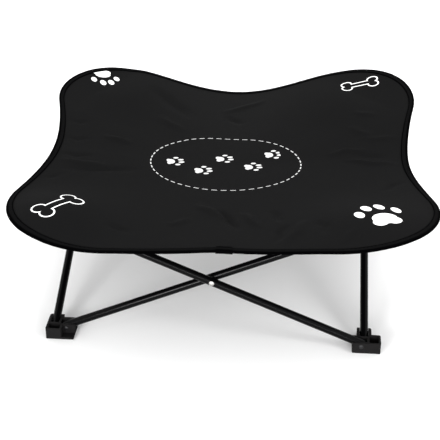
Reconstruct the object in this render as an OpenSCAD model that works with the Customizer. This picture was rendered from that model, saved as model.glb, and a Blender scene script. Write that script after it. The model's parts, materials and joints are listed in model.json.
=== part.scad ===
// Folding raised pet cot: four crossed pairs of tubes on four feet, with a stretched sheet on top.
// Millimetres, +Z up, front at -Y, origin on the floor under the middle of the cot.
// Side 0 is the front; sides 1, 2 and 3 follow it a quarter turn at a time, counter-clockwise from above.

/* [Frame] */
// half the distance between the two foot pins of one side
pin_half = 255; // [200:1:320]
// height of the foot pins above the floor
foot_pin_z = 13.6; // [12:0.1:20]
// rise from a bar's lower pin to its upper pin
rise = 218.5; // [150:0.5:300]
// distance from the frame's middle to the outer bars of a side
outer_plane = 276; // [230:0.5:340]
// place of the frame's middle, which the sheet doesn't lie quite evenly on: to the right
frame_x = -13; // [-15:0.5:15]
// and to the rear
frame_y = 5; // [-15:0.5:15]

/* [Bars] */
// outside diameter of a bar
bar_d = 14; // [10:0.5:16]
// wall of a bar
bar_wall = 1.1; // [0.8:0.1:2]
// length of a bar past its end pin
bar_past_pin = 7; // [5:0.5:10]
// thickness of the washer between two crossed bars
washer_t = 1.3; // [0.8:0.1:3]
// outside diameter of the washer
washer_d = 12; // [9:0.5:13]

/* [Rivets] */
// shank diameter
rivet_d = 5; // [4:0.1:6]
// head diameter of the rivet where two bars cross
cross_head_d = 9; // [7:0.5:11]
// head diameter of the rivets in the feet and hubs
corner_head_d = 8; // [6:0.5:10]
// height of a rivet head
head_h = 1.4; // [0.8:0.1:2.5]

/* [Feet and hubs] */
// wall beside a bar's slot
block_wall = 5; // [3:0.5:8]
// reach of a foot past its pins, towards the middle of a side
block_inward = 15.5; // [12:0.5:24]
// radius of the upright edges of a foot or hub
block_corner_r = 4; // [2:0.5:8]
// radius of the edges round the sole of a foot
sole_r = 3; // [1:0.5:5]
// height of the walls above the pins
wall_above_pin = 7.4; // [4:0.1:12]
// thickness of the square plate that the walls stand on
plate_t = 5; // [4:0.5:6]
// height of a hub's flat top above its pins
hub_top_above_pin = 11.6; // [10.5:0.1:16]

/* [Sheet] */
// thickness of the sheet
sheet_t = 1.6; // [1:0.1:4]
// distance of a lobe's centre from the sheet's middle, along X and along Y
lobe_at = 204; // [180:1:260]
// radius of a lobe
lobe_r = 156; // [90:1:170]
// distance from the sheet's middle to the hollow middle of a side
side_half = 344; // [290:1:350]
// height of the lobes' rims
lobe_z = 260; // [240:1:275]
// height of the rim at the middle of a side
side_z = 224; // [200:1:240]
// height of the middle of the sheet
middle_z = 214; // [190:1:230]
// height of the sheet over the hubs
seat_z = 252; // [246:0.5:260]
// turn of the sheet on its frame, in degrees
sheet_turn = 1.4; // [-3:0.1:3]
// place of the sheet's middle, to the right
sheet_x = -5; // [-12:1:12]
// and to the rear
sheet_y = 2; // [-12:1:12]
// lift of the rim at right, rear right, rear, rear left, left, front left, front and front right
rim_lift = [0, 14, -23, 7, 15, -31, 2, -19];
// reach of the rim past its even outline, at the same eight places
rim_reach = [-18, -7, 25, -11, -22, 10, 6, 8];
// width of the binding on each face of the sheet
binding_w = 11; // [6:0.5:16]
// thickness of the binding tape
binding_t = 0.9; // [0.6:0.1:1.5]
// length of the overlap where the ends of the binding meet, at the front
join_len = 27; // [15:1:40]
// place of that overlap, to the right
join_x = 13; // [-60:1:60]

/* [Pockets] */
// thickness of a corner pocket
pocket_t = 1.2; // [0.8:0.1:2]
// length of a pocket along each outer face of its hub
pocket_len = 42; // [30:1:48]

/* [Hidden] */
$fn = 48;
gap = 0.4;
running_gap = 0.05;
over = 1;
bar_r = bar_d / 2;
layer = bar_d + washer_t + 0.2;
inner_plane = outer_plane - layer;
middle_pin_z = foot_pin_z + rise / 2;
hub_pin_z = foot_pin_z + rise;
hub_top_z = hub_pin_z + hub_top_above_pin;
bar_angle = atan2(rise, 2 * pin_half);
bar_len = norm([2 * pin_half, rise]);
hole_r = rivet_d / 2 + running_gap;
slot_w = bar_d + 2 * gap;
end_sweep = norm([bar_past_pin, bar_r]);
end_gap = 0.3;
slot_past_pin = end_sweep + end_gap;
block_in = pin_half - block_inward;
block_out = outer_plane + slot_w / 2 + block_wall;
recess_x = inner_plane + slot_w / 2 + block_wall;
recess_y = -(pin_half + corner_head_d / 2 + 1.5);
cavity_wall = 3.6;
pocket_gap = 0.4;
sectors = 80;
sector = 360 / sectors;
// share of the way from the middle to the rim, ring by ring; the binding's inner edge and the rim follow
rings = [0.27, 0.5, 0.65, 0.75, 0.86];
seat_spread = 95;
fabric_gap = 0.45;

black_plastic = [0.13, 0.13, 0.14];
black_paint = [0.08, 0.08, 0.09];
bright_metal = [0.75, 0.75, 0.77];
dark_cloth = [0.12, 0.12, 0.13];
dark_tape = [0.07, 0.07, 0.08];

// Takes a piece of the front and its right corner round to its own side of the frame.
module on_side(side) {
    translate([frame_x, frame_y, 0])
        rotate([0, 0, 90 * side])
            children();
}

// A straight rod along +Y from the front of a side.
module along_y(x, y, z, r, length) {
    translate([x, y, z])
        rotate([-90, 0, 0])
            cylinder(r = r, h = length);
}

// A straight rod along -X from the right of a side.
module along_x(x, y, z, r, length) {
    translate([x, y, z])
        rotate([0, -90, 0])
            cylinder(r = r, h = length);
}

// A rectangle with round corners, between two corner points.
module round_box(low, high, r) {
    translate([low[0] + r, low[1]])
        square([high[0] - low[0] - 2 * r, high[1] - low[1]]);
    translate([low[0], low[1] + r])
        square([high[0] - low[0], high[1] - low[1] - 2 * r]);
    for (x = [low[0] + r, high[0] - r], y = [low[1] + r, high[1] - r])
        translate([x, y])
            circle(r = r);
}

// The walls of a corner block: two arms beside its slots, with a recess for the inner bar's rivet.
module block_walls() {
    difference() {
        union() {
            round_box([block_in, -block_out], [recess_x, -block_in], block_corner_r);
            round_box([block_in, -block_out], [block_out, recess_y], block_corner_r);
        }
        translate([block_in - over, -outer_plane + slot_w / 2 + block_wall])
            square([
                inner_plane - slot_w / 2 - block_wall - block_in + over,
                outer_plane - slot_w / 2 - block_wall - block_in + over
            ]);
    }
}

// A corner block on its base plane, with its pins pin_z above it: the block of a foot,
// and of a hub when turned over. The outer bar's slot runs along X, the inner bar's along Y.
module corner_block(pin_z, base_r) {
    wall_z = pin_z + wall_above_pin;
    floor_z = pin_z - end_sweep - end_gap;
    difference() {
        intersection() {
            union() {
                linear_extrude(plate_t)
                    round_box([block_in, -block_out], [block_out, -block_in], block_corner_r);
                linear_extrude(wall_z)
                    block_walls();
            }
            translate([0, -block_in, 0])
                rotate([90, 0, 0])
                    linear_extrude(block_out - block_in)
                        round_box([block_in, 0], [block_out, wall_z + 2 * base_r], base_r);
            translate([block_in, 0, 0])
                rotate([90, 0, 90])
                    linear_extrude(block_out - block_in)
                        round_box([-block_out, 0], [-block_in, wall_z + 2 * base_r], base_r);
        }
        translate([block_in - over, -outer_plane - slot_w / 2, floor_z])
            cube([block_inward + slot_past_pin + over, slot_w, wall_z]);
        translate([inner_plane - slot_w / 2, -pin_half - slot_past_pin, floor_z])
            cube([slot_w, block_inward + slot_past_pin + over, wall_z]);
        translate([pin_half + slot_past_pin + cavity_wall, -block_out + cavity_wall, floor_z])
            cube([
                block_out - pin_half - slot_past_pin - 2 * cavity_wall,
                block_out + recess_y - 2 * cavity_wall,
                wall_z
            ]);
        along_y(pin_half, -block_out - over, pin_z, hole_r, over + rivet_reach() + running_gap);
        along_x(recess_x + over, -pin_half, pin_z, hole_r, over + rivet_reach() + running_gap);
    }
}

// Length of a corner rivet's shank.
function rivet_reach() = block_wall + slot_w + 3.6;

// A rivet along +Y from the face it is driven through, with a domed head.
module rivet(length, head_d) {
    rotate([-90, 0, 0]) {
        cylinder(d = rivet_d, h = length);
        rotate([180, 0, 0])
            dome(head_d, head_h);
    }
}

module dome(d, h) {
    ball_r = (d * d / 4 + h * h) / (2 * h);
    intersection() {
        translate([0, 0, h - ball_r])
            sphere(r = ball_r);
        cylinder(d = d, h = h);
    }
}

// The two rivets of a corner block.
module corner_rivets(pin_z) {
    translate([pin_half, -block_out, pin_z])
        rivet(rivet_reach(), corner_head_d);
    translate([recess_x, -pin_half, pin_z])
        rotate([0, 0, 90])
            rivet(rivet_reach(), corner_head_d);
}

// Turns a corner block over on to the top of its corner.
module as_hub() {
    translate([0, 0, hub_top_z])
        mirror([0, 0, 1])
            mirror([1, 1, 0])
                children();
}

// A tube with its three cross holes, along X about its middle.
module bar() {
    whole = bar_len + 2 * bar_past_pin;
    difference() {
        translate([-whole / 2, 0, 0])
            rotate([0, 90, 0])
                cylinder(d = bar_d, h = whole);
        translate([-whole / 2 - over, 0, 0])
            rotate([0, 90, 0])
                cylinder(d = bar_d - 2 * bar_wall, h = whole + 2 * over);
        for (x = [-bar_len / 2, 0, bar_len / 2])
            along_y(x, -bar_d, 0, hole_r, 2 * bar_d);
    }
}

// The outer bar of a side falls to the right, the inner bar to the left.
module outer_bar(side) {
    color(black_paint)
        on_side(side)
            translate([0, -outer_plane, middle_pin_z])
                rotate([0, bar_angle, 0])
                    bar();
}

module inner_bar(side) {
    color(black_paint)
        on_side(side)
            translate([0, -inner_plane, middle_pin_z])
                rotate([0, -bar_angle, 0])
                    bar();
}

// The rivet that two crossed bars turn on, headed at both ends.
module cross_rivet(side) {
    head_gap = 0.1;
    shank = bar_d + layer + 2 * head_gap;
    color(bright_metal)
        on_side(side)
            translate([0, -outer_plane - bar_r - head_gap, middle_pin_z]) {
                rivet(shank, cross_head_d);
                translate([0, shank, 0])
                    rotate([-90, 0, 0])
                        dome(cross_head_d, head_h);
            }
}

module cross_washer(side) {
    color(black_plastic)
        on_side(side)
            translate([0, -(outer_plane + inner_plane) / 2 - washer_t / 2, middle_pin_z])
                rotate([-90, 0, 0])
                    difference() {
                        cylinder(d = washer_d, h = washer_t);
                        translate([0, 0, -over])
                            cylinder(r = hole_r, h = washer_t + 2 * over);
                    }
}

module foot(side) {
    color(black_plastic)
        on_side(side)
            corner_block(foot_pin_z, sole_r);
}

module foot_rivets(side) {
    color(black_paint)
        on_side(side)
            corner_rivets(foot_pin_z);
}

module hub(side) {
    color(black_plastic)
        on_side(side)
            as_hub()
                corner_block(hub_top_above_pin, 1);
}

module hub_rivets(side) {
    color(black_paint)
        on_side(side)
            as_hub()
                corner_rivets(hub_top_above_pin);
}

// The pocket that caps a hub: a top patch, a wall round its two outer faces and a lip under its corner.
module corner_pocket(side) {
    inside = block_out + head_h + pocket_gap;
    outside = inside + pocket_t;
    from = outside - pocket_len;
    top = hub_top_z + pocket_gap;
    low = hub_top_z - hub_top_above_pin - wall_above_pin - pocket_gap - pocket_t;
    lip = pin_half + slot_past_pin + 1.5;
    round_r = block_corner_r + 2;
    color(dark_cloth)
        on_side(side)
            difference() {
                translate([0, 0, low])
                    linear_extrude(top + pocket_t - low)
                        round_box([from, -outside], [outside, -from], round_r);
                translate([0, 0, low + pocket_t])
                    linear_extrude(top - low - pocket_t)
                        difference() {
                            translate([from - over, -inside])
                                square(pocket_len + over - pocket_t);
                            translate([inside - round_r, -inside])
                                square(round_r);
                        }
                translate([inside - round_r, -inside + round_r, low + pocket_t])
                    cylinder(r = round_r, h = top - low - pocket_t);
                translate([from - over, -lip, low - over])
                    cube([2 * pocket_len, pocket_len, pocket_t + 2 * over]);
                translate([from - over, -outside - over, low - over])
                    cube([lip - from + over, 2 * pocket_len, pocket_t + 2 * over]);
            }
}

// Weight of one of the eight places round the rim at an angle: 1 at the place, 0 an eighth of a turn away.
function near_place(a, i) = cos(a - 45 * i) <= 0 ? 0 : pow(max(cos(2 * (a - 45 * i)), 0), 1.5);
function round_rim(values, a) = [for (v = values) 1] * [for (i = [0:7]) values[i] * near_place(a, i)];

// Even outline: a lobe's circle, or the hollow arc of a side that meets it smoothly.
side_r = (pow(lobe_at, 2) + pow(side_half - lobe_at, 2) - pow(lobe_r, 2))
    / (2 * (lobe_r - side_half + lobe_at));
side_centre = side_half + side_r;
lobe_centre = lobe_at * sqrt(2);
to_side = [side_centre - lobe_at, -lobe_at];
meet = [lobe_at, lobe_at] + lobe_r * to_side / norm(to_side);
meet_angle = atan2(meet[1], meet[0]);
function from_side(a) = abs((a + 45) % 90 - 45);
function ray_to_lobe(b) = lobe_centre * cos(45 - b)
    + sqrt(max(pow(lobe_r, 2) - pow(lobe_centre * sin(45 - b), 2), 0));
function ray_to_side(b) = side_centre * cos(b) - sqrt(max(pow(side_r, 2) - pow(side_centre * sin(b), 2), 0));
function even_rim(b) = b > meet_angle ? ray_to_lobe(b) : ray_to_side(b);

function rim_r(a) = even_rim(from_side(a)) + round_rim(rim_reach, a);
function rim_z(a) = side_z + (lobe_z - side_z) * (0.5 - 0.5 * cos(4 * a)) + round_rim(rim_lift, a);

// Height of the sheet: it sags to its middle, and lies on the hubs.
hub_at = (outer_plane + pin_half) / 2;
function slack_z(a, t) = middle_z + (rim_z(a) - middle_z) * t * t;
function to_hub(p) = norm([abs(p[0] - frame_x) - hub_at, abs(p[1] - frame_y) - hub_at]);
function on_hub(p) = exp(-pow(to_hub(p) / seat_spread, 2));
function place(a, r) = [sheet_x + r * cos(a + sheet_turn), sheet_y + r * sin(a + sheet_turn)];
function seated_z(z, p) = z + max(seat_z - z, 0) * on_hub(p);
function sheet_z(a, t) = seated_z(slack_z(a, t), place(a, rim_r(a) * t));
function sheet_point(a, t, up) = let (p = place(a, rim_r(a) * t)) [p[0], p[1], sheet_z(a, t) + up];
function under_binding(a) = 1 - binding_w / rim_r(a);

// Rings of points joined into one closed skin; each ring has the same number of points.
// Places in other_way are split along their other diagonal.
function halves(q, other) = other
    ? [[q[0], q[1], q[3]], [q[1], q[2], q[3]]]
    : [[q[0], q[1], q[2]], [q[0], q[2], q[3]]];
function ring_faces(n, from, to, flip, other_way = []) = [
    for (i = [0:n - 1])
        let (j = (i + 1) % n)
        let (quad = flip ? [from + i, to + i, to + j, from + j] : [from + i, from + j, to + j, to + i])
        each halves(quad, len(search(i, other_way)) > 0)
];
function cap_faces(n, centre, ring, flip) = [
    for (i = [0:n - 1])
        let (j = (i + 1) % n)
        flip ? [centre, ring + i, ring + j] : [centre, ring + j, ring + i]
];

module seat_sheet() {
    half = sheet_t / 2;
    count = len(rings) + 2;
    shares = [for (i = [0:sectors - 1]) concat(rings, [under_binding(i * sector), 1])];
    upper = [for (k = [0:count - 1], i = [0:sectors - 1]) sheet_point(i * sector, shares[i][k], half)];
    lower = [for (k = [0:count - 1], i = [0:sectors - 1]) sheet_point(i * sector, shares[i][k], -half)];
    under = count * sectors;
    middle = [sheet_point(0, 0, half), sheet_point(0, 0, -half)];
    faces = concat(
        cap_faces(sectors, 2 * under, 0, false),
        cap_faces(sectors, 2 * under + 1, under, true),
        [for (k = [0:count - 2]) each ring_faces(sectors, k * sectors, (k + 1) * sectors, false)],
        [for (k = [count:2 * count - 2]) each ring_faces(sectors, k * sectors, (k + 1) * sectors, true)],
        ring_faces(sectors, (count - 1) * sectors, under + (count - 1) * sectors, false)
    );
    color(dark_cloth)
        polyhedron(concat(upper, lower, middle), faces);
}

// Height along the slope of the sheet's last band, by the distance past the rim.
function near_rim_z(a, past) = let (s = 1 + past / binding_w)
    sheet_z(a, under_binding(a)) * (1 - s) + sheet_z(a, 1) * s;

// Section of a tape folded over the rim, as [distance past the rim, height above the sheet's mid-plane].
function tape_section(width, inside, thick) = [
    [-width, inside + thick], [inside + thick, inside + thick],
    [inside + thick, -inside - thick], [-width, -inside - thick],
    [-width, -inside], [inside, -inside], [inside, inside], [-width, inside]
];
// the runs of that section that go inwards, split as the sheet's own band is
inward_runs = [2, 6];
function tape_point(a, s) = let (p = place(a, rim_r(a) + s[0]))
    [p[0], p[1], near_rim_z(a, s[0]) + s[1]];

binding_inside = sheet_t / 2 + fabric_gap;

module edge_binding() {
    section = tape_section(binding_w, binding_inside, binding_t);
    n = len(section);
    points = [for (i = [0:sectors - 1], s = section) tape_point(i * sector, s)];
    faces = [
        for (i = [0:sectors - 1])
            each ring_faces(n, i * n, ((i + 1) % sectors) * n, true, inward_runs)
    ];
    color(dark_tape)
        polyhedron(points, faces);
}

// The overlap at the front, one tape's thickness outside the binding.
module binding_join() {
    section = tape_section(binding_w + 2, binding_inside + binding_t + fabric_gap, binding_t);
    n = len(section);
    front = 270 - sheet_turn + atan2(join_x - sheet_x, side_half);
    half_angle = atan2(join_len / 2, rim_r(front));
    stops = [-half_angle, -half_angle / 3, half_angle / 3, half_angle];
    last = (len(stops) - 1) * n;
    points = [for (stop = stops, s = section) tape_point(front + stop, s)];
    ends = [[0, 1, 6], [0, 6, 7], [1, 2, 5], [1, 5, 6], [2, 3, 4], [2, 4, 5]];
    faces = concat(
        [for (k = [0:len(stops) - 2]) each ring_faces(n, k * n, (k + 1) * n, true, inward_runs)],
        ends,
        [for (f = ends) [f[2] + last, f[1] + last, f[0] + last]]
    );
    color(dark_tape)
        polyhedron(points, faces);
}

foot(0);  // foot_front_right
foot(1);  // foot_rear_right
foot(2);  // foot_rear_left
foot(3);  // foot_front_left
foot_rivets(0);  // foot_rivets_front_right
foot_rivets(1);  // foot_rivets_rear_right
foot_rivets(2);  // foot_rivets_rear_left
foot_rivets(3);  // foot_rivets_front_left
hub(0);  // hub_front_right
hub(1);  // hub_rear_right
hub(2);  // hub_rear_left
hub(3);  // hub_front_left
hub_rivets(0);  // hub_rivets_front_right
hub_rivets(1);  // hub_rivets_rear_right
hub_rivets(2);  // hub_rivets_rear_left
hub_rivets(3);  // hub_rivets_front_left
outer_bar(0);  // bar_front_outer
outer_bar(1);  // bar_right_outer
outer_bar(2);  // bar_rear_outer
outer_bar(3);  // bar_left_outer
inner_bar(0);  // bar_front_inner
inner_bar(1);  // bar_right_inner
inner_bar(2);  // bar_rear_inner
inner_bar(3);  // bar_left_inner
cross_rivet(0);  // cross_rivet_front
cross_rivet(1);  // cross_rivet_right
cross_rivet(2);  // cross_rivet_rear
cross_rivet(3);  // cross_rivet_left
cross_washer(0);  // cross_washer_front
cross_washer(1);  // cross_washer_right
cross_washer(2);  // cross_washer_rear
cross_washer(3);  // cross_washer_left
seat_sheet();
edge_binding();
binding_join();
corner_pocket(0);  // corner_pocket_front_right
corner_pocket(1);  // corner_pocket_rear_right
corner_pocket(2);  // corner_pocket_rear_left
corner_pocket(3);  // corner_pocket_front_left
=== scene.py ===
import functools
import json
import math

import bmesh
import bpy
from mathutils import Matrix, Vector, noise


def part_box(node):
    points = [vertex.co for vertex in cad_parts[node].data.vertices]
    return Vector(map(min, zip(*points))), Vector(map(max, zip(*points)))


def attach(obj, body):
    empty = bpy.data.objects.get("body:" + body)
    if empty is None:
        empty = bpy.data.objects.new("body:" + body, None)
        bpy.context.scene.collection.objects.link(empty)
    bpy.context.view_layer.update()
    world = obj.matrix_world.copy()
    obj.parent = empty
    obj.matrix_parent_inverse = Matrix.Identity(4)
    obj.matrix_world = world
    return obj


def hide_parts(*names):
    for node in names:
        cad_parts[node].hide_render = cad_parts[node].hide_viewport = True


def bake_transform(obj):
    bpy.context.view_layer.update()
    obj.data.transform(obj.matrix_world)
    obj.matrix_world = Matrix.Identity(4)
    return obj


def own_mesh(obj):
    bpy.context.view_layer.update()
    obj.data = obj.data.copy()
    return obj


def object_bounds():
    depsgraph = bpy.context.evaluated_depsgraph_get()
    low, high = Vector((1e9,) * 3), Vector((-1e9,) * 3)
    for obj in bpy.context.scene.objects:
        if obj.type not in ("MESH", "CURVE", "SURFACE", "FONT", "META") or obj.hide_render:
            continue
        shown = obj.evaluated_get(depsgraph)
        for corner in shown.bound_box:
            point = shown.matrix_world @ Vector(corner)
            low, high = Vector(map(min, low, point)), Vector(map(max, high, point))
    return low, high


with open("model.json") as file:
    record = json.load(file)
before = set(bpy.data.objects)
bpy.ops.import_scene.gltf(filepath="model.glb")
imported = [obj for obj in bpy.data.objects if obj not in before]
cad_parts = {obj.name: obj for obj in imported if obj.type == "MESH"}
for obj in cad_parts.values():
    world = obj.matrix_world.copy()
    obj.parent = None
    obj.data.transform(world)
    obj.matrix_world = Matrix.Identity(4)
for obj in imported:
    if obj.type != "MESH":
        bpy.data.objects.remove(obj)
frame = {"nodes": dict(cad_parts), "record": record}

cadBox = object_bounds()

# which way the x and y of each corner and side run from the middle
corners = {"front_right": (1, -1), "rear_right": (1, 1), "rear_left": (-1, 1), "front_left": (-1, -1)}
sides = {"front": (0, -1), "rear": (0, 1), "right": (1, 0), "left": (-1, 0)}
frameMiddle = Vector((-0.013, 0.005, 0))  # the sheet doesn't lie quite evenly on its frame

# what the photograph's camera sees: degrees, metres, and pixels of a 440 by 440 image
view = {
    "turn": 4.77, "lift": 27.45, "away": 2.296, "aim": (-0.0223, 0.005, 0.132),
    "focal": 1224, "side": 440, "middleRow": 201.2, "sensor": 36,
}


def placeCamera():
    turn, lift = math.radians(view["turn"]), math.radians(view["lift"])
    back = Vector((math.sin(turn) * math.cos(lift), -math.cos(turn) * math.cos(lift), math.sin(lift)))
    right = Vector((math.cos(turn), math.sin(turn), 0))
    lens = bpy.data.cameras.new("photoCamera")
    lens.sensor_width = view["sensor"]
    lens.lens = view["sensor"] * view["focal"] / view["side"]
    lens.shift_y = (view["middleRow"] - view["side"] / 2) / view["side"]
    eye = bpy.data.objects.new("photoCamera", lens)
    eye.matrix_world = (
        Matrix.Translation(Vector(view["aim"]) + back * view["away"])
        @ Matrix((right, back.cross(right), back)).transposed().to_4x4()
    )
    bpy.context.scene.collection.objects.link(eye)
    bpy.context.scene.camera = eye


placeCamera()
print("camera placed")


# a socket in a sum: each operator adds one Math node
class Sock:
    def __init__(self, tree, plug):
        self.tree, self.plug = tree, plug

    def node(self, kind, settings=None, links=None, output=0):
        made = self.tree.nodes.new("ShaderNode" + kind)
        for name, value in (settings or {}).items():
            setattr(made, name, value)
        for name, value in (links or {}).items():
            if isinstance(value, Sock):
                self.tree.links.new(value.plug, made.inputs[name])
            else:
                made.inputs[name].default_value = value
        return Sock(self.tree, made.outputs[output])

    def maths(self, operation, *values):
        return self.node("Math", {"operation": operation}, dict(enumerate(values)))

    def __add__(self, other):
        return self.maths("ADD", self, other)

    def __radd__(self, other):
        return self.maths("ADD", other, self)

    def __sub__(self, other):
        return self.maths("SUBTRACT", self, other)

    def __rsub__(self, other):
        return self.maths("SUBTRACT", other, self)

    def __mul__(self, other):
        return self.maths("MULTIPLY", self, other)

    def __rmul__(self, other):
        return self.maths("MULTIPLY", other, self)

    def __truediv__(self, other):
        return self.maths("DIVIDE", self, other)

    def __rtruediv__(self, other):
        return self.maths("DIVIDE", other, self)

    def __lt__(self, other):
        return self.maths("LESS_THAN", self, other)

    def __gt__(self, other):
        return self.maths("GREATER_THAN", self, other)

    def __abs__(self):
        return self.maths("ABSOLUTE", self)

    def root(self):
        return self.maths("SQRT", self)

    def sine(self):
        return self.maths("SINE", self)

    def least(self, other):
        return self.maths("MINIMUM", self, other)

    def most(self, other):
        return self.maths("MAXIMUM", self, other)

    def parts(self):
        apart = self.node("SeparateXYZ", links={0: self}).plug.node
        return [Sock(self.tree, plug) for plug in apart.outputs]

    def speckle(self, scale, detail=2, roughness=0.5):
        return self.node("TexNoise", links={
            "Vector": self, "Scale": scale, "Detail": detail, "Roughness": roughness})

    # from one colour to another by this value
    def shades(self, low, high):
        return self.node("Mix", {"data_type": "RGBA"}, {0: self, 6: low, 7: high}, output=2)

    def bump(self, depth, strength, over=None):
        links = {"Height": self, "Distance": depth, "Strength": strength}
        if over is not None:
            links["Normal"] = over
        return self.node("Bump", links=links)


# even holds the shader's plain numbers, vary gives what changes over the surface
def makeFinish(name, even, vary):
    finish = bpy.data.materials.new(name)
    finish.use_nodes = True
    tree = finish.node_tree
    shader = next(n for n in tree.nodes if n.type == "BSDF_PRINCIPLED")
    for socket, value in even.items():
        shader.inputs[socket].default_value = value
    place = Sock(tree, tree.nodes.new("ShaderNodeTexCoord").outputs["Object"])
    for socket, value in vary(place).items():
        tree.links.new(value.plug, shader.inputs[socket])
    return finish


# moulded block plastic: fine spark grain, faint flow marks, rounded edges in the light
plastic = {
    "dark": (0.0044, 0.0041, 0.0042, 1), "light": (0.0077, 0.0072, 0.0074, 1), "rough": 0.46,
    "grain": 2600, "grainDepth": 0.00006, "flow": 60, "edge": 0.0009,
}


def plasticLook(place):
    grain = place.speckle(plastic["grain"], 1)
    flow = place.speckle(plastic["flow"], 3)
    edge = place.node("Bevel", {"samples": 4}, {"Radius": plastic["edge"]})
    return {
        "Base Color": flow.shades(plastic["dark"], plastic["light"]),
        "Roughness": plastic["rough"] + 0.16 * flow + 0.06 * grain,
        "Normal": grain.bump(plastic["grainDepth"], 0.5, edge),
    }


# baked paint on the tubes: smooth, a little orange peel, scuffed here and there
paint = {
    "dark": (0.0014, 0.0014, 0.0016, 1), "scuffed": (0.012, 0.012, 0.0125, 1), "rough": 0.11,
    "peel": 420, "peelDepth": 0.00005, "cloud": 9, "scuff": 900, "scuffFrom": 0.43,
}


def paintLook(place):
    peel = place.speckle(paint["peel"])
    cloud = place.speckle(paint["cloud"], 3)
    scuff = (place.speckle(paint["scuff"], 3, 0.7) * cloud > paint["scuffFrom"]) * 0.5
    return {
        "Base Color": scuff.shades(paint["dark"], paint["scuffed"]),
        "Roughness": paint["rough"] + 0.08 * cloud + 0.25 * scuff,
        "Normal": peel.bump(paint["peelDepth"], 0.4),
    }


# bright steel of the cross rivets
steel = {
    "dark": (0.24, 0.235, 0.225, 1), "light": (0.56, 0.55, 0.53, 1), "rough": 0.22,
    "spin": 700, "spinDepth": 0.00004,
}


def steelLook(place):
    spin = place.speckle(steel["spin"], 3)
    return {
        "Base Color": spin.shades(steel["dark"], steel["light"]),
        "Roughness": steel["rough"] + 0.2 * spin,
        "Normal": spin.bump(steel["spinDepth"], 0.5),
    }


# blackened rivets of the feet and hubs, worn in spots
blackRivet = {
    "dark": (0.008, 0.008, 0.009, 1), "worn": (0.07, 0.07, 0.072, 1), "rough": 0.3,
    "wear": 500, "wearDepth": 0.00005,
}


def blackRivetLook(place):
    wear = place.speckle(blackRivet["wear"], 3)
    return {
        "Base Color": ((wear - 0.5) * 1.4).shades(blackRivet["dark"], blackRivet["worn"]),
        "Roughness": blackRivet["rough"] + 0.25 * wear,
        "Normal": wear.bump(blackRivet["wearDepth"], 0.5),
    }


# the sheet's white print on the flat cloth, in metres and degrees
motifs = {  # x, y, size and turn of what is in the corners
    "paws": ((-0.284, 0.291, 0.062, 205), (0.262, -0.248, 0.088, 25)),
    "bones": ((0.237, 0.298, 0.072, 6), (-0.271, -0.254, 0.088, 52)),
    "line": 0.0027, "middle": (-0.011, -0.004), "faint": 0.62,
}
dashes = {"wide": 0.138, "tall": 0.110, "line": 0.0016, "count": 52, "share": 0.6}  # an oval round the middle
trail = {"turn": 14, "step": 0.046, "apart": 0.021, "size": 0.036, "steps": 2.3}  # paws across the middle

# ovals of a paw's right half, toes towards +y, in a square of one unit: x, y and half sizes
pawOvals = (
    (0.135, 0.34, 0.095, 0.15), (0.38, 0.12, 0.09, 0.135),  # toes
    (0, -0.17, 0.25, 0.19), (0.14, -0.28, 0.15, 0.12),  # pad
)
bone = {"knobX": 0.36, "knobY": 0.115, "knobRound": 0.14, "shaftHalf": 0.095}  # one unit long


def turned(x, y, angle):
    c, s = math.cos(math.radians(angle)), math.sin(math.radians(angle))
    return x * c + y * s, y * c - x * s


# inside of an ellipse is below 1
def oval(x, y, wide, tall):
    a, b = x / wide, y / tall
    return a * a + b * b


def pawShape(x, y):
    side = abs(x)
    ovals = [oval(side - atX, y - atY, wide, tall) for atX, atY, wide, tall in pawOvals]
    return functools.reduce(Sock.least, ovals) < 1


def boneLine(x, y, line):
    side, up = abs(x) - bone["knobX"], abs(y)
    knobUp = up - bone["knobY"]
    knob = (side * side + knobUp * knobUp).root() - bone["knobRound"]
    shaft = side.most(up - bone["shaftHalf"])
    return abs(knob.least(shaft)) < line / 2


def dashedOval(x, y):
    wide, tall = dashes["wide"], dashes["tall"]
    line = abs(oval(x, y, wide, tall).root() - 1) * tall < dashes["line"] / 2
    around = x.maths("ARCTAN2", y / tall, x / wide) * (dashes["count"] / math.tau)
    return line * (around.maths("FRACT", around) < dashes["share"])


# left and right paws by turns, each a step ahead of the other
def pawTrail(along, across):
    step, apart, size = trail["step"], trail["apart"], trail["size"]
    stride = along + (across > 0) * step
    stride = stride.maths("FLOORED_MODULO", stride, 2 * step) - step
    paw = pawShape((abs(across) - apart) / size, stride / size)
    return paw * (abs(along) < trail["steps"] * step) * (abs(across) < 2 * apart)


def printMask(x, y):
    marks = []
    for atX, atY, size, turn in motifs["paws"]:
        px, py = turned(x - atX, y - atY, turn)
        marks.append(pawShape(px / size, py / size))
    for atX, atY, size, turn in motifs["bones"]:
        px, py = turned(x - atX, y - atY, turn)
        marks.append(boneLine(px / size, py / size, motifs["line"] / size))
    atX, atY = motifs["middle"]
    marks.append(dashedOval(x - atX, y - atY) * motifs["faint"])
    marks.append(pawTrail(*turned(x - atX, y - atY, trail["turn"])) * motifs["faint"])
    return functools.reduce(Sock.most, marks)


# the sheet's woven cloth, dark, with a white print
weave = {
    "dark": (0.0029, 0.0029, 0.0030, 1), "light": (0.0051, 0.0051, 0.0052, 1), "ink": (0.86, 0.86, 0.85, 1),
    "rough": 0.72, "pitch": 0.0011, "depth": 0.00022, "cloud": 14, "slub": (60, 900, 1),
}


def weaveHeight(x, y, pitch):
    return (x * (math.pi / pitch)).sine() * (y * (math.pi / pitch)).sine()


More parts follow.
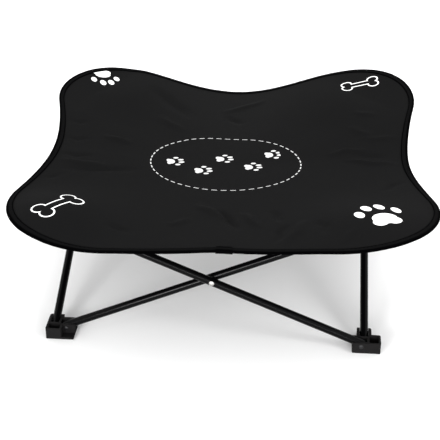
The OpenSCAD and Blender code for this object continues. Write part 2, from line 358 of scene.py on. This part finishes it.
def clothLook(place):
    plan = place.node("UVMap", {"uv_map": "clothPlan"})
    x, y = plan.parts()[:2]
    ink = printMask(x, y)
    threads = weaveHeight(x, y, weave["pitch"])
    cloud = plan.speckle(weave["cloud"], 4)
    slub = plan.node("Mapping", links={0: plan, "Scale": weave["slub"]}).speckle(1)
    tone = (0.55 * cloud + 0.35 * slub + 0.1 * threads).shades(weave["dark"], weave["light"])
    return {
        "Base Color": ink.shades(tone, weave["ink"]),
        "Roughness": weave["rough"] + 0.1 * cloud - 0.12 * ink,
        "Normal": (0.35 * threads + 0.25 * slub - 0.2 * ink).bump(weave["depth"], 0.55),
    }


# ribbed tape round the rim, with painted shade at its two edges: a painted shadow line along the sewn inner
# edge and the rounded rim painted darker where it turns from the light
tape = {
    "dark": (0.0021, 0.0021, 0.0022, 1), "light": (0.0036, 0.0036, 0.0037, 1),
    # the near-black of the tape's two edges is painted shade; the pocket cloth takes the same colour as its
    # own dark tone
    "edgeShadeAndDarkTone": (0.0003, 0.0003, 0.0004, 1), "seam": 0.0081, "rim": 0.0028,
    "rough": 0.62, "ribs": 0.0013, "depth": 0.0002, "cloud": 30, "fuzz": 1800,
}


def tapeLook(place):
    along, across = place.node("UVMap", {"uv_map": "tapePlan"}).parts()[:2]
    ribs = (along * (math.tau / tape["ribs"])).sine()
    cloud = place.speckle(tape["cloud"], 3)
    fuzz = place.speckle(tape["fuzz"])
    tone = (0.7 * cloud + 0.3 * fuzz).shades(tape["dark"], tape["light"])
    # outside the band between the rim and the sewn inner edge the colour is painted shade, a painted shadow
    # line inside and a painted dark rim outside
    middle = (across < -tape["rim"]) * (across > -tape["seam"])
    return {
        "Base Color": middle.shades(tape["edgeShadeAndDarkTone"], tone),
        "Roughness": tape["rough"] + 0.18 * cloud,
        "Normal": (ribs * 0.6 + fuzz * 0.5).bump(tape["depth"], 0.6),
    }


# the thread that sews the tape
thread = {
    "dark": (0.003, 0.003, 0.0033, 1), "light": (0.010, 0.010, 0.0105, 1), "rough": 0.5,
    "twist": 2400, "depth": 0.0001,
}


def threadLook(place):
    twist = place.speckle(thread["twist"])
    return {
        "Base Color": twist.shades(thread["dark"], thread["light"]),
        "Roughness": thread["rough"] + 0.2 * twist,
        "Normal": twist.bump(thread["depth"], 0.7),
    }


# coarser cloth of the corner pockets
pocketCloth = {
    "dark": tape["edgeShadeAndDarkTone"], "light": weave["light"], "rough": 0.7,
    "pitch": 0.0013, "depth": 0.00025, "cloud": 25,
}


def pocketLook(place):
    x, y, z = place.parts()
    pitch = pocketCloth["pitch"]
    threads = weaveHeight(x + y, z, pitch) + 0.5 * weaveHeight(x, y, pitch)
    cloud = place.speckle(pocketCloth["cloud"], 3)
    return {
        "Base Color": cloud.shades(pocketCloth["dark"], pocketCloth["light"]),
        "Roughness": pocketCloth["rough"] + 0.15 * cloud,
        "Normal": threads.bump(pocketCloth["depth"], 0.6),
    }


softSheen = {"Specular IOR Level": 0.02, "Sheen Weight": 0.004, "Sheen Roughness": 0.5}
tapeSheen = {"Specular IOR Level": 0.005}
finishes = {
    "black_plastic": makeFinish("mouldedBlocks", {"Specular IOR Level": 0.07}, plasticLook),
    "black_paint": makeFinish("bakedPaint", {"Specular IOR Level": 0.06}, paintLook),
    "black_rivet": makeFinish("blackRivets", {"Metallic": 0.6}, blackRivetLook),
    "bright_rivet": makeFinish("brightRivets", {"Metallic": 1.0}, steelLook),
    "sheet_cloth": makeFinish("wovenCloth", softSheen, clothLook),
    "binding_tape": makeFinish("ribbedTape", tapeSheen, tapeLook),
}
threadFinish = makeFinish("sewingThread", tapeSheen, threadLook)
pocketFinish = makeFinish("pocketCloth", softSheen, pocketLook)

for part in frame["record"]["subparts"]:
    for held in frame["nodes"][part["node"]].material_slots:
        held.material = finishes[part["material_slot"]]
print("finishes:", len(bpy.data.materials))

# the sheet: four round lobes, hollow sides, sagging middle; angles in degrees from the right side
cloth = {
    "lobeAt": 0.204, "lobeRound": 0.156, "sideHalf": 0.344,
    "lobeHeight": 0.260, "sideHeight": 0.224, "middleHeight": 0.214,
    "hubHeight": 0.252, "hubAt": 0.2655, "hubSpread": 0.095,
    "turn": 1.4, "middle": (-0.005, 0.002), "thickness": 0.0016,
    "split": 0.72,  # where the corners end and the sides begin, as a share of the rim
    "cells": 85,  # from the middle to the rim
    "slopeStep": 0.004,  # how far to each side on the plan the slope along a seam is felt
    "underside": 1.0,  # how far aside the plan of the underside lies, clear of the print
    # right, rear right, rear, rear left, left, front left, front, front right
    "lift": (0, 0.014, -0.023, 0.007, 0.015, -0.031, 0.002, -0.019),
    "reach": (-0.018, -0.007, 0.025, -0.011, -0.022, 0.010, 0.006, 0.008),
    "fade": 1.5,  # how soon each of these gives way to the next
    "waves": ((0.0006, 7, 0.7), (0.0003, 21, 3.1)),  # height, how often to a metre, layer of the noise
    "wander": (0.006, 3, 40, 2.1),  # a crease's drift, how often along it and across the sheet, layer
    "rimCalm": 8,  # the higher, the nearer to the rim the creases run
    # soft creases, from and to on the plan, with height and half width
    "creases": (
        # left
        ((-0.32, -0.03), (-0.25, -0.02), -0.0043, 0.0054), ((-0.32, -0.05), (-0.22, -0.05), 0.0047, 0.0063),
        ((-0.31, -0.08), (-0.16, -0.05), -0.0043, 0.0081), ((-0.32, 0.03), (-0.27, 0.04), -0.0039, 0.0054),
        ((-0.32, 0.09), (-0.28, 0.10), -0.0030, 0.0054), ((-0.25, 0.06), (-0.19, 0.05), 0.0043, 0.0063),
        ((-0.33, -0.13), (-0.29, -0.10), -0.0030, 0.0054),
        # rear
        ((-0.19, 0.29), (-0.09, 0.18), -0.0047, 0.0144), ((-0.16, 0.17), (-0.10, 0.12), 0.0030, 0.0090),
        ((-0.04, 0.24), (0.05, 0.31), 0.0039, 0.0072), ((-0.03, 0.22), (0.01, 0.18), -0.0035, 0.0081),
        # right
        ((0.17, 0.04), (0.25, 0.06), 0.0039, 0.0054), ((0.20, 0.02), (0.31, 0.00), 0.0047, 0.0054),
        ((0.22, 0.04), (0.29, 0.03), -0.0039, 0.0090), ((0.21, 0.13), (0.26, 0.10), 0.0035, 0.0063),
        ((0.23, 0.09), (0.32, 0.09), 0.0035, 0.0054), ((0.22, 0.18), (0.27, 0.17), 0.0030, 0.0063),
        ((0.27, -0.12), (0.31, -0.07), -0.0039, 0.0072),
        # front
        ((-0.05, -0.17), (0.01, -0.23), 0.0043, 0.0072), ((-0.01, -0.19), (0.03, -0.27), -0.0057, 0.0063),
        ((0.03, -0.20), (0.07, -0.26), 0.0039, 0.0063), ((0.08, -0.19), (0.10, -0.24), -0.0035, 0.0063),
        ((0.14, -0.24), (0.11, -0.33), 0.0051, 0.0081), ((0.11, -0.25), (0.09, -0.32), -0.0043, 0.0063),
        ((0.16, -0.25), (0.18, -0.30), -0.0039, 0.0072), ((0.22, -0.29), (0.20, -0.34), 0.0030, 0.0063),
        ((-0.19, -0.28), (-0.14, -0.30), -0.0035, 0.0063), ((-0.09, -0.26), (-0.05, -0.23), 0.0030, 0.0063),
    ),
}
split = cloth["split"]

# the rim's arcs: a side's hollow arc meets the lobe's round one where their circles touch
sideRound = (
    (cloth["lobeAt"] ** 2 + (cloth["sideHalf"] - cloth["lobeAt"]) ** 2 - cloth["lobeRound"] ** 2)
    / (2 * (cloth["lobeRound"] - cloth["sideHalf"] + cloth["lobeAt"]))
)
sideCentre = cloth["sideHalf"] + sideRound
lobeCentre = cloth["lobeAt"] * math.sqrt(2)
toSide = Vector((sideCentre - cloth["lobeAt"], -cloth["lobeAt"])).normalized() * cloth["lobeRound"]
meetAngle = math.degrees(math.atan2(cloth["lobeAt"] + toSide.y, cloth["lobeAt"] + toSide.x))


# eight values round the rim, each fading out towards its neighbours
def roundRim(values, a):
    total = 0
    for i, value in enumerate(values):
        off = math.radians(a - 45 * i)
        if math.cos(off) > 0:
            total += value * max(math.cos(2 * off), 0) ** cloth["fade"]
    return total


def rimReach(a):
    b = abs((a + 45) % 90 - 45)
    if b > meetAngle:
        off = math.radians(45 - b)
        even = lobeCentre * math.cos(off) + math.sqrt(
            max(cloth["lobeRound"] ** 2 - (lobeCentre * math.sin(off)) ** 2, 0))
    else:
        off = math.radians(b)
        even = sideCentre * math.cos(off) - math.sqrt(
            max(sideRound ** 2 - (sideCentre * math.sin(off)) ** 2, 0))
    return even + roundRim(cloth["reach"], a)


def rimHeight(a):
    swing = 0.5 - 0.5 * math.cos(math.radians(4 * a))
    even = cloth["sideHeight"] + (cloth["lobeHeight"] - cloth["sideHeight"]) * swing
    return even + roundRim(cloth["lift"], a)


def creaseLift(x, y):
    here = Vector((x, y))
    total = 0
    for height, often, layer in cloth["waves"]:
        total += height * noise.noise(Vector((x * often, y * often, layer)))
    drift, along, across, layer = cloth["wander"]
    for start, end, height, half in cloth["creases"]:
        start, end = Vector(start), Vector(end)
        run = end - start
        share = (here - start).dot(run) / run.length_squared
        if 0 < share < 1:
            off = (here - start).cross(run) / run.length
            off -= drift * noise.noise(Vector((share * along, start.x * across, layer)))
            total += height * math.sin(math.pi * share) * math.exp(-(off / half) ** 2)
    return total


# a point of the sheet's middle layer, at an angle and a share of the way to the rim
def clothPoint(a, t, past=0.0):
    r = rimReach(a) * t + past
    way = math.radians(a + cloth["turn"])
    x, y = cloth["middle"][0] + r * math.cos(way), cloth["middle"][1] + r * math.sin(way)
    z = cloth["middleHeight"] + (rimHeight(a) - cloth["middleHeight"]) * t * t
    off = math.hypot(abs(x - frameMiddle.x) - cloth["hubAt"], abs(y - frameMiddle.y) - cloth["hubAt"])
    z += max(cloth["hubHeight"] - z, 0) * math.exp(-(off / cloth["hubSpread"]) ** 2)
    return Vector((x, y, z + creaseLift(x, y) * (1 - t ** cloth["rimCalm"])))


def planAngle(u, v):
    return math.degrees(math.atan2(v, u)) % 360


# the cloth laid out as a square from -1 to 1 both ways
def planPoint(u, v):
    return clothPoint(planAngle(u, v), max(abs(u), abs(v)))


# which way the cloth faces there
def planFacing(u, v):
    off = cloth["slopeStep"]
    across = planPoint(u + off, v) - planPoint(u - off, v)
    along = planPoint(u, v + off) - planPoint(u, v - off)
    return across.cross(along).normalized()


sharpFrom = math.radians(50)  # an edge that turns more than this shows as one


def newPiece(name, bm, *looks):
    for face in bm.faces:
        face.smooth = True
    mesh = bpy.data.meshes.new(name)
    bm.to_mesh(mesh)
    bm.free()
    mesh.set_sharp_from_angle(angle=sharpFrom)
    piece = bpy.data.objects.new(name, mesh)
    for look in looks:
        mesh.materials.append(look)
    bpy.context.scene.collection.objects.link(piece)
    return piece


# along its edges a patch is shaded as the whole sheet is, so that no seam shows
def evenSeams(mesh):
    border = [held.vector.copy() for held in mesh.attributes["facing"].data]  # zero inside the patch
    facing = []
    for face in mesh.polygons:
        up = round(face.normal.z)  # 1 above, -1 below, 0 on the cut
        facing += [up * border[i] for i in face.vertices]
    mesh.normals_split_custom_set(facing)
    mesh.attributes.remove(mesh.attributes["facing"])


# a patch of the sheet between two places each way, with its flat size and area
def clothPatch(name, fromU, toU, fromV, toV):
    bm = bmesh.new()
    facing = bm.verts.layers.float_vector.new("facing")
    countU, countV = round((toU - fromU) * cloth["cells"]), round((toV - fromV) * cloth["cells"])
    bmesh.ops.create_grid(bm, x_segments=countU, y_segments=countV, size=1)
    for vert in bm.verts:
        u = fromU + (toU - fromU) * (vert.co.x + 1) / 2
        v = fromV + (toV - fromV) * (vert.co.y + 1) / 2
        vert.co = planPoint(u, v)
        if vert.is_boundary:
            vert[facing] = planFacing(u, v)
    bm.normal_update()
    area = sum(face.calc_area() for face in bm.faces)
    bmesh.ops.translate(bm, verts=bm.verts, vec=(0, 0, -cloth["thickness"] / 2))
    below = len(bm.verts)
    bmesh.ops.solidify(bm, geom=bm.faces[:], thickness=-cloth["thickness"])
    bm.verts.index_update()
    bm.verts.ensure_lookup_table()
    for upper in bm.verts[below:]:
        for edge in upper.link_edges:
            lower = edge.other_vert(upper)
            if lower.index < below:  # both sides of a seam rise alike, so that it stays shut
                upper.co = lower.co + upper[facing] * cloth["thickness"]
    bmesh.ops.recalc_face_normals(bm, faces=bm.faces)
    plan = bm.loops.layers.uv.new("clothPlan")
    for face in bm.faces:
        aside = 0 if face.normal.z > 0 else cloth["underside"]
        for loop in face.loops:
            loop[plan].uv = loop.vert.co.xy + Vector((aside, 0))
    piece = newPiece(name, bm, finishes["sheet_cloth"])
    evenSeams(piece.data)
    places = [vert.co for vert in piece.data.vertices]
    low, high = Vector(map(min, *places)), Vector(map(max, *places))
    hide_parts("seat_sheet")
    return piece, (high.x - low.x, high.y - low.y), area


# which bar each part of the sheet goes with when the frame folds; only the middle patches are attached to
# their bars here, the sides and corners stay where they are laid
folding = {
    "sides": {  # the two bars that carry a side, first the one on its low end of x or y
        "front": ("bar_front_outer", "bar_front_inner"), "rear": ("bar_rear_inner", "bar_rear_outer"),
        "right": ("bar_right_outer", "bar_right_inner"), "left": ("bar_left_inner", "bar_left_outer"),
    },
    "bend": 0.2,  # how far to each side of the frame's middle a side bends
    # the bar that a corner bends on to, and from and to how far from the frame's middle
    "corners": {"front_right": "bar_front_inner", "rear_right": "bar_right_inner",
                "rear_left": "bar_left_outer", "front_left": "bar_front_outer"},
    "cornerBend": (0.278, 0.246),
    # the bar that a middle patch hangs from as a narrow strip, and how far out and up it gathers
    "middles": {"front_right": "bar_front_inner", "rear_right": "bar_rear_outer",
                "rear_left": "bar_rear_inner", "front_left": "bar_front_outer"},
    "middleAnchor": (0.2426, 0.252), "middleSag": 0.04, "middleKeep": 0.05,
}


def carrySide(piece):
    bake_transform(piece)


def carryCorner(piece):
    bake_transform(piece)


# tape folded over the rim, sewn along its inner edge
binding = {
    "width": 0.011, "thickness": 0.0009, "gap": 0.00045, "step": 0.006, "flatCells": 4, "bendCells": 8,
    "ripple": (0.0003, 0.9, 300, 5.0),  # height, how often to a degree and across, layer of the noise
    "stitch": 0.0036, "stitchGap": 0.0012, "stitchIn": 0.0085, "stitchAim": 0.2,  # degrees ahead
    "threadRound": 0.00032, "threadSides": 6,
}
join = {"length": 0.027, "wider": 0.002, "x": 0.013}  # where the tape's ends overlap at the front


# a point of the tape at an angle, by how far past the rim and how far above the middle layer
def tapePoint(a, past, above):
    reach = rimReach(a)
    inner = min(past, 0)
    point = clothPoint(a, (reach + inner) / reach, past - inner)
    return point + Vector((0, 0, above))


def rimLength(fromA, toA):
    return math.radians(toA - fromA) * rimReach((fromA + toA) / 2)


def tapeStrip(bm, fromA, toA, width, inside):
    plan = bm.loops.layers.uv.new("tapePlan")
    half = inside + binding["thickness"]
    flat, bend = binding["flatCells"], binding["bendCells"]
    section = [(-width * (1 - i / flat), half) for i in range(flat)]
    for i in range(bend + 1):
        section.append((half * math.sin(math.pi * i / bend), half * math.cos(math.pi * i / bend)))
    section += [(-width * i / flat, -half) for i in range(1, flat + 1)]
    last = len(section) - 1
    length = rimLength(fromA, toA)
    bmesh.ops.create_grid(bm, x_segments=round(length / binding["step"]), y_segments=last, size=1)
    height, along, across, layer = binding["ripple"]
    where = {}
    for vert in bm.verts:
        share = (vert.co.x + 1) / 2
        past, above = section[round((vert.co.y + 1) / 2 * last)]
        a = fromA + (toA - fromA) * share
        ripple = height * noise.noise(Vector((a * along, above * across, layer)))
        where[vert] = (share * length, past)
        vert.co = tapePoint(a, past, above + ripple)
    faces = bm.faces[:]
    bmesh.ops.recalc_face_normals(bm, faces=faces)
    if max(faces, key=lambda face: face.calc_center_median().z).normal.z < 0:
        bmesh.ops.reverse_faces(bm, faces=faces)
    for face in faces:
        for loop in face.loops:
            loop[plan].uv = where[loop.vert]
    bmesh.ops.solidify(bm, geom=faces, thickness=binding["thickness"])


def stitchRow(bm, fromA, toA, inward, above):
    first = len(bm.faces)
    count = int(rimLength(fromA, toA) / (binding["stitch"] + binding["stitchGap"]))
    for i in range(count):
        a = fromA + (toA - fromA) * (i + 0.5) / count
        for side in (1, -1):
            here = tapePoint(a, -inward, side * above)
            way = tapePoint(a + binding["stitchAim"], -inward, side * above) - here
            bmesh.ops.create_cone(
                bm, cap_ends=True, segments=binding["threadSides"], depth=binding["stitch"],
                radius1=binding["threadRound"], radius2=binding["threadRound"],
                matrix=Matrix.Translation(here) @ way.to_track_quat("Z", "Y").to_matrix().to_4x4())
    bm.faces.ensure_lookup_table()
    for face in bm.faces[first:]:
        face.material_index = 1


def tapePiece(name, fromA, toA, wider=0.0, raised=0.0):
    bm = bmesh.new()
    inside = cloth["thickness"] / 2 + binding["gap"] + raised
    tapeStrip(bm, fromA, toA, binding["width"] + wider, inside)
    stitchRow(bm, fromA, toA, binding["stitchIn"] + wider, inside + binding["thickness"])
    piece = newPiece(name, bm, finishes["binding_tape"], threadFinish)
    return piece


def wrapJoin():
    aside = math.atan2(join["x"] - cloth["middle"][0], cloth["sideHalf"])
    middle = planAngle(*sides["front"]) - cloth["turn"] + math.degrees(aside)
    half = math.degrees(math.atan2(join["length"] / 2, rimReach(middle)))
    wrap = tapePiece("binding_join_wrap", middle - half, middle + half, join["wider"],
                     binding["thickness"] + binding["gap"])
    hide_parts("binding_join")
    return wrap


# from and to on the plan, at the rim on one side of the middle or, for 0, between the corners
def rimSpan(way):
    return sorted((split * way, way)) if way else (-split, split)


def layCorner(corner):
    right, back = corners[corner]
    patch, flat, area = clothPatch("seat_sheet_corner_" + corner, *rimSpan(right), *rimSpan(back))
    ends = sorted((planAngle(split * right, back), planAngle(right, split * back)))
    edge = tapePiece("edge_binding_corner_" + corner, *ends)
    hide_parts("edge_binding")
    for piece in (patch, edge):
        carryCorner(piece)


def layMiddle(corner):
    right, back = corners[corner]
    spans = sorted((0, split * right)) + sorted((0, split * back))
    patch, flat, area = clothPatch("seat_sheet_middle_" + corner, *spans)
    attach(patch, folding["middles"][corner])
    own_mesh(patch)


def laySide(side):
    right, back = sides[side]
    patch, flat, area = clothPatch("seat_sheet_side_" + side, *rimSpan(right), *rimSpan(back))
    middle, half = planAngle(right, back), math.degrees(math.atan2(split, 1))
    edge = tapePiece("edge_binding_side_" + side, middle - half, middle + half)
    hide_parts("edge_binding")
    extras = [edge]
    if side == "front":
        extras.append(wrapJoin())
    for piece in [patch] + extras:
        carrySide(piece)


for corner in corners:
    layCorner(corner)
    layMiddle(corner)
for side in sides:
    laySide(side)
print("sheet, tape and stitches made")

# sewn pockets that cap the hubs: a top, two walls with a hem, and a lip under the corner
pocket = {
    "thickness": 0.0012, "round": 0.006, "roundCells": 5, "lip": 0.0247,
    "hem": 0.006, "hemOut": 0.0005, "hemEdge": 0.0002,
}


def sewPocket(corner):
    right, back = corners[corner]
    low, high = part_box("corner_pocket_" + corner)
    outer = Vector((high.x if right > 0 else low.x, high.y if back > 0 else low.y, low.z))
    bm = bmesh.new()
    bmesh.ops.create_cube(bm, size=1)
    bmesh.ops.scale(bm, vec=high - low, verts=bm.verts)
    bmesh.ops.translate(bm, vec=(low + high) / 2, verts=bm.verts)
    cuts = (
        (outer - Vector((right, 0, 0)) * pocket["lip"], (1, 0, 0)),
        (outer - Vector((0, back, 0)) * pocket["lip"], (0, 1, 0)),
        (outer + Vector((0, 0, pocket["hem"])), (0, 0, 1)),
    )
    for place, way in cuts:
        bmesh.ops.bisect_plane(bm, geom=bm.verts[:] + bm.edges[:] + bm.faces[:], plane_co=place, plane_no=way)
    bmesh.ops.recalc_face_normals(bm, faces=bm.faces)

    def isOpen(face):
        off = face.calc_center_median() - outer
        inCorner = abs(off.x) < pocket["lip"] and abs(off.y) < pocket["lip"]
        facesIn = face.normal.x * right < -0.5 or face.normal.y * back < -0.5
        return facesIn or (face.normal.z < -0.5 and not inCorner)

    bmesh.ops.delete(bm, geom=[f for f in bm.faces if isOpen(f)], context="FACES")

    def isUpperTurn(edge):
        turns = len(edge.link_faces) == 2 and edge.calc_face_angle() > sharpFrom
        return turns and max(v.co.z for v in edge.verts) > outer.z + pocket["hem"] / 2

    bmesh.ops.bevel(
        bm, geom=[e for e in bm.edges if isUpperTurn(e)], offset=pocket["round"], offset_type="OFFSET",
        segments=pocket["roundCells"], profile=0.5, affect="EDGES", material=-1)
    bmesh.ops.recalc_face_normals(bm, faces=bm.faces)
    if max(bm.faces, key=lambda f: f.calc_center_median().z).normal.z < 0:
        bmesh.ops.reverse_faces(bm, faces=bm.faces)
    hem = [f for f in bm.faces
           if abs(f.normal.z) < 0.5 and f.calc_center_median().z < outer.z + pocket["hem"]]
    bmesh.ops.solidify(bm, geom=bm.faces[:], thickness=pocket["thickness"])
    bmesh.ops.inset_region(bm, faces=[f for f in hem if f.is_valid], thickness=pocket["hemEdge"],
                           depth=pocket["hemOut"], use_even_offset=True)
    piece = newPiece("corner_pocket_cloth_" + corner, bm, pocketFinish)
    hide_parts("corner_pocket_" + corner)
    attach(piece, "hub_" + corner)


for corner in corners:
    sewPocket(corner)
print("pockets sewn")

# pale floor and soft studio light
studio = {
    "floor": 14.0, "pale": (0.88, 0.88, 0.88, 1), "paler": (0.9, 0.9, 0.9, 1), "rough": 0.7, "cloud": 3,
    "backdrop": (1, 1, 1, 1), "backdropLight": 1.25,
}
lamps = {  # place, aim, width and height, power
    "keyLamp": ((-1.38, -3.42, 1.13), (0, 0, 0.1), (1.2, 0.5), 90),
    "lowLamp": ((0.85, -3.65, 0.66), (0, -0.2, 0.12), (1.4, 0.3), 58),
    "fillLamp": ((2.4, -1.6, 1.6), (0, 0, 0.15), (1.0, 1.0), 30),
    "topLamp": ((0.2, 0.8, 3.0), (0, 0, 0.1), (2.2, 2.2), 60),
}


def floorLook(place):
    cloud = place.speckle(studio["cloud"])
    return {
        "Base Color": cloud.shades(studio["pale"], studio["paler"]),
        "Roughness": studio["rough"] + 0.1 * cloud,
    }


def layFloor():
    bm = bmesh.new()
    bmesh.ops.create_grid(bm, x_segments=1, y_segments=1, size=studio["floor"] / 2)
    bmesh.ops.translate(bm, verts=bm.verts, vec=(0, 0, cadBox[0].z))
    floor = newPiece("floor", bm, makeFinish("paleFloor", {"Specular IOR Level": 0.2}, floorLook))


def hangLamp(name, at, aim, size, power):
    lamp = bpy.data.lights.new(name, "AREA")
    lamp.shape, lamp.energy = "RECTANGLE", power
    lamp.size, lamp.size_y = size
    holder = bpy.data.objects.new(name, lamp)
    away = Vector(at) - Vector(aim)
    holder.matrix_world = Matrix.Translation(at) @ away.to_track_quat("Z", "Y").to_matrix().to_4x4()
    bpy.context.scene.collection.objects.link(holder)


def lightBackdrop():
    world = bpy.data.worlds.new("paleRoom")
    world.use_nodes = True
    backdrop = next(n for n in world.node_tree.nodes if n.type == "BACKGROUND")
    backdrop.inputs["Color"].default_value = studio["backdrop"]
    backdrop.inputs["Strength"].default_value = studio["backdropLight"]
    bpy.context.scene.world = world
    bpy.context.scene.view_settings.view_transform = "Standard"


layFloor()
for name, lamp in lamps.items():
    hangLamp(name, *lamp)
lightBackdrop()
print("floor and lamps placed")
